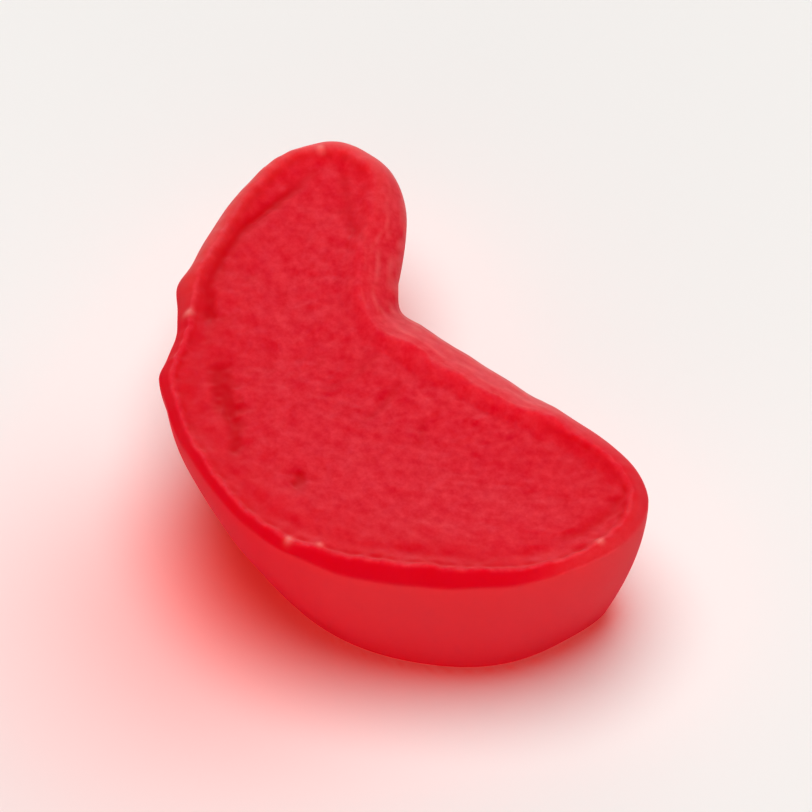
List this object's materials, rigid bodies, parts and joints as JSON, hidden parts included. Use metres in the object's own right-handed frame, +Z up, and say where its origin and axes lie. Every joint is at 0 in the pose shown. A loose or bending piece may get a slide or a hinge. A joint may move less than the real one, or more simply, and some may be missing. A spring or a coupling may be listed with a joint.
{
  "type": "gummy lips",
  "caption": "Soft red jelly sweet shaped like plump lips: flat moulded underside, smooth bulging walls, and a raised rim round a slightly hollow poured top.",
  "frame": {"origin": "under the middle of the sweet's bounding box, on the surface that it rests on", "axes": "+X along the long axis towards the broader lobe, +Y towards the side with the notch, +Z up out of the poured face"},
  "size_m": [0.038, 0.0232, 0.0115],
  "materials": {
    "jelly": "translucent red gelatine jelly with a thin film of glazing oil, satin with a fine mottle"
  },
  "bodies": {
    "root": {"gummy": "jelly"}
  },
  "joints": []
}
